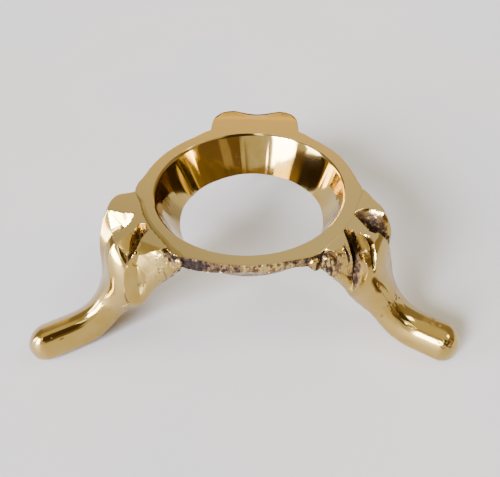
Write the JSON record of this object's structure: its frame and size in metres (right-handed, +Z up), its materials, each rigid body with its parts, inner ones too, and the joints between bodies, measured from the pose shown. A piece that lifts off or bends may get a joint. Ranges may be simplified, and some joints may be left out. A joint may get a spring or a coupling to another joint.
{
  "type": "ring stand",
  "caption": "Low brass ring stand on splayed cabriole legs, with a conical seat that holds a ball, an egg or a small round-bottomed ornament.",
  "frame": {"origin": "on the floor, in the middle of the stand's footprint box; the ring's axis stands 10.3 mm in front of it, at y = -0.0103", "axes": "+Z up, along the ring's axis; +Y towards the rear leg; +X to the right, along the longest side"},
  "size_m": [0.0782, 0.0685, 0.022],
  "materials": {
    "ring_brass": "top ground and lapped to a satin shine, seat scraped bright, outside left as cast and dark in its pits",
    "leg_brass": "hand-polished casting, brown patina left in the grooves and pits",
    "braze_filler": "as-flowed brazing filler, part bright and part scaled"
  },
  "bodies": {
    "root": {"ring": "ring_brass", "leg_left": "leg_brass", "leg_right": "leg_brass", "leg_rear": "leg_brass", "braze_left": "braze_filler", "braze_right": "braze_filler", "braze_rear": "braze_filler"}
  },
  "joints": []
}
